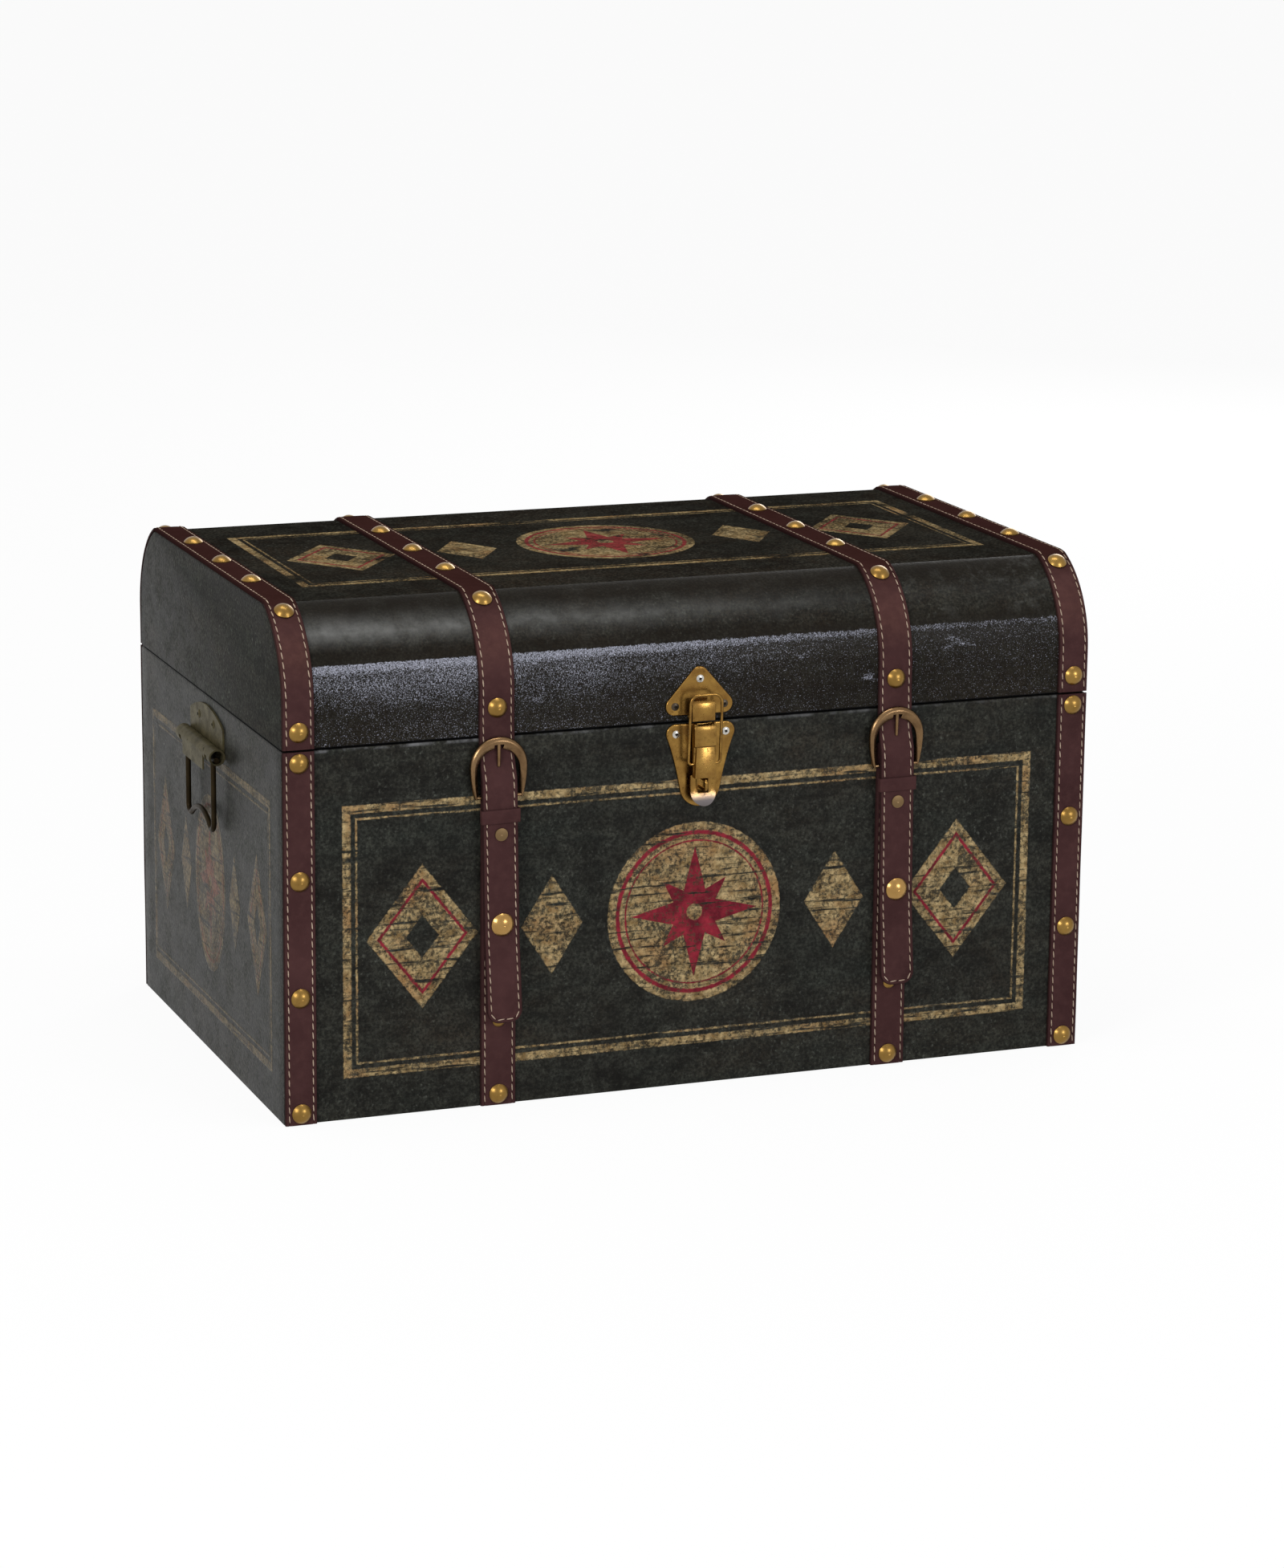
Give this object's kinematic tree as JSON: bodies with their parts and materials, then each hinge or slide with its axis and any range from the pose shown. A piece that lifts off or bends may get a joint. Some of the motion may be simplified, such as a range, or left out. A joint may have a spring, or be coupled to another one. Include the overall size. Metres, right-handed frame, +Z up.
{
  "type": "storage trunk",
  "caption": "Leatherette-covered wooden storage trunk with a round-shouldered hinged lid, studded leather straps, buckled strap tails, a draw latch and drop handles.",
  "frame": {"origin": "middle of the underside, on the floor", "axes": "+X to the right seen from the front, the front faces -Y, +Z up"},
  "size_m": [0.634, 0.3964, 0.37],
  "materials": {
    "board_wood": "plain board, unfinished",
    "leatherette": "dark green-black grained covering with a worn, matt print",
    "lining_cloth": "plain woven lining",
    "strap_leather": "smooth burgundy-brown, stitched along the edges",
    "stud_brass": "polished antique brass",
    "buckle_bronze": "aged bronze",
    "latch_brass": "mottled antique brass",
    "handle_brass": "dull brass plate",
    "screw_steel": "bright nickel",
    "magnet_steel": "plain steel"
  },
  "bodies": {
    "base": {"base_floor": "board_wood", "base_front_panel": "board_wood", "base_back_panel": "board_wood", "base_left_panel": "board_wood", "base_right_panel": "board_wood", "base_cover": "leatherette", "base_lining": "lining_cloth", "base_front_strap_left": "strap_leather", "base_front_strap_mid_left": "strap_leather", "base_front_strap_mid_right": "strap_leather", "base_front_strap_right": "strap_leather", "base_back_strap_left": "strap_leather", "base_back_strap_mid_left": "strap_leather", "base_back_strap_mid_right": "strap_leather", "base_back_strap_right": "strap_leather", "base_studs": "stud_brass", "strap_magnet_plates": "magnet_steel", "hinge_base_leaf_left": "handle_brass", "hinge_base_leaf_right": "handle_brass", "hinge_pins": "handle_brass", "hinge_base_screws": "screw_steel", "handle_plate_left": "handle_brass", "handle_plate_right": "handle_brass", "handle_screws": "screw_steel", "latch_base_plate": "latch_brass", "latch_pivot_pin": "latch_brass", "latch_staple": "latch_brass", "latch_base_screws": "screw_steel"},
    "lid": {"lid_arch_board": "board_wood", "lid_left_end": "board_wood", "lid_right_end": "board_wood", "lid_cover": "leatherette", "lid_lining": "lining_cloth", "lid_strap_left": "strap_leather", "lid_strap_mid_left": "strap_leather", "lid_strap_mid_right": "strap_leather", "lid_strap_right": "strap_leather", "lid_studs": "stud_brass", "hinge_lid_leaf_left": "handle_brass", "hinge_lid_leaf_right": "handle_brass", "hinge_lid_screws": "screw_steel", "latch_catch_plate": "latch_brass", "latch_lid_screws": "screw_steel"},
    "latch_lever": {"latch_lever": "latch_brass"},
    "latch_bail": {"latch_bail": "latch_brass"},
    "handle_bail_left": {"handle_bail_left": "handle_brass"},
    "handle_bail_right": {"handle_bail_right": "handle_brass"},
    "strap_tail_left": {"strap_flap_left": "strap_leather", "buckle_frame_left": "buckle_bronze", "buckle_prong_left": "buckle_bronze", "strap_keeper_left": "strap_leather", "flap_rivets_left": "stud_brass", "flap_magnet_left": "magnet_steel"},
    "strap_tail_right": {"strap_flap_right": "strap_leather", "buckle_frame_right": "buckle_bronze", "buckle_prong_right": "buckle_bronze", "strap_keeper_right": "strap_leather", "flap_rivets_right": "stud_brass", "flap_magnet_right": "magnet_steel"}
  },
  "joints": [
    {"name": "lid_hinge", "type": "hinge", "parent": "base", "child": "lid", "pos_m": [0, 0.1907, 0.268], "axis": [-1, 0, 0], "range_deg": [0, 100]},
    {"name": "latch_lever_pivot", "type": "hinge", "parent": "base", "child": "latch_lever", "pos_m": [0.0026, -0.195, 0.2652], "axis": [-1, 0, 0], "range_deg": [0, 90]},
    {"name": "latch_bail_pivot", "type": "hinge", "parent": "latch_lever", "child": "latch_bail", "pos_m": [0.0026, -0.1961, 0.2385], "axis": [-1, 0, 0], "range_deg": [-90, 0]},
    {"name": "handle_left_swing", "type": "hinge", "parent": "base", "child": "handle_bail_left", "pos_m": [-0.311, 0, 0.2295], "axis": [0, 1, 0], "range_deg": [0, 90]},
    {"name": "handle_right_swing", "type": "hinge", "parent": "base", "child": "handle_bail_right", "pos_m": [0.311, 0, 0.2295], "axis": [0, -1, 0], "range_deg": [0, 90]},
    {"name": "strap_tail_left_bend", "type": "hinge", "parent": "lid", "child": "strap_tail_left", "pos_m": [-0.15, -0.1893, 0.271], "axis": [-0.9995, 0, -0.0314], "range_deg": [0, 90]},
    {"name": "strap_tail_right_bend", "type": "hinge", "parent": "lid", "child": "strap_tail_right", "pos_m": [0.1526, -0.1893, 0.271], "axis": [-0.9999, 0, -0.0157], "range_deg": [0, 90]}
  ],
  "couplings": [
    {"joint": "latch_bail_pivot", "follows": "latch_lever_pivot", "ratio": -1}
  ]
}
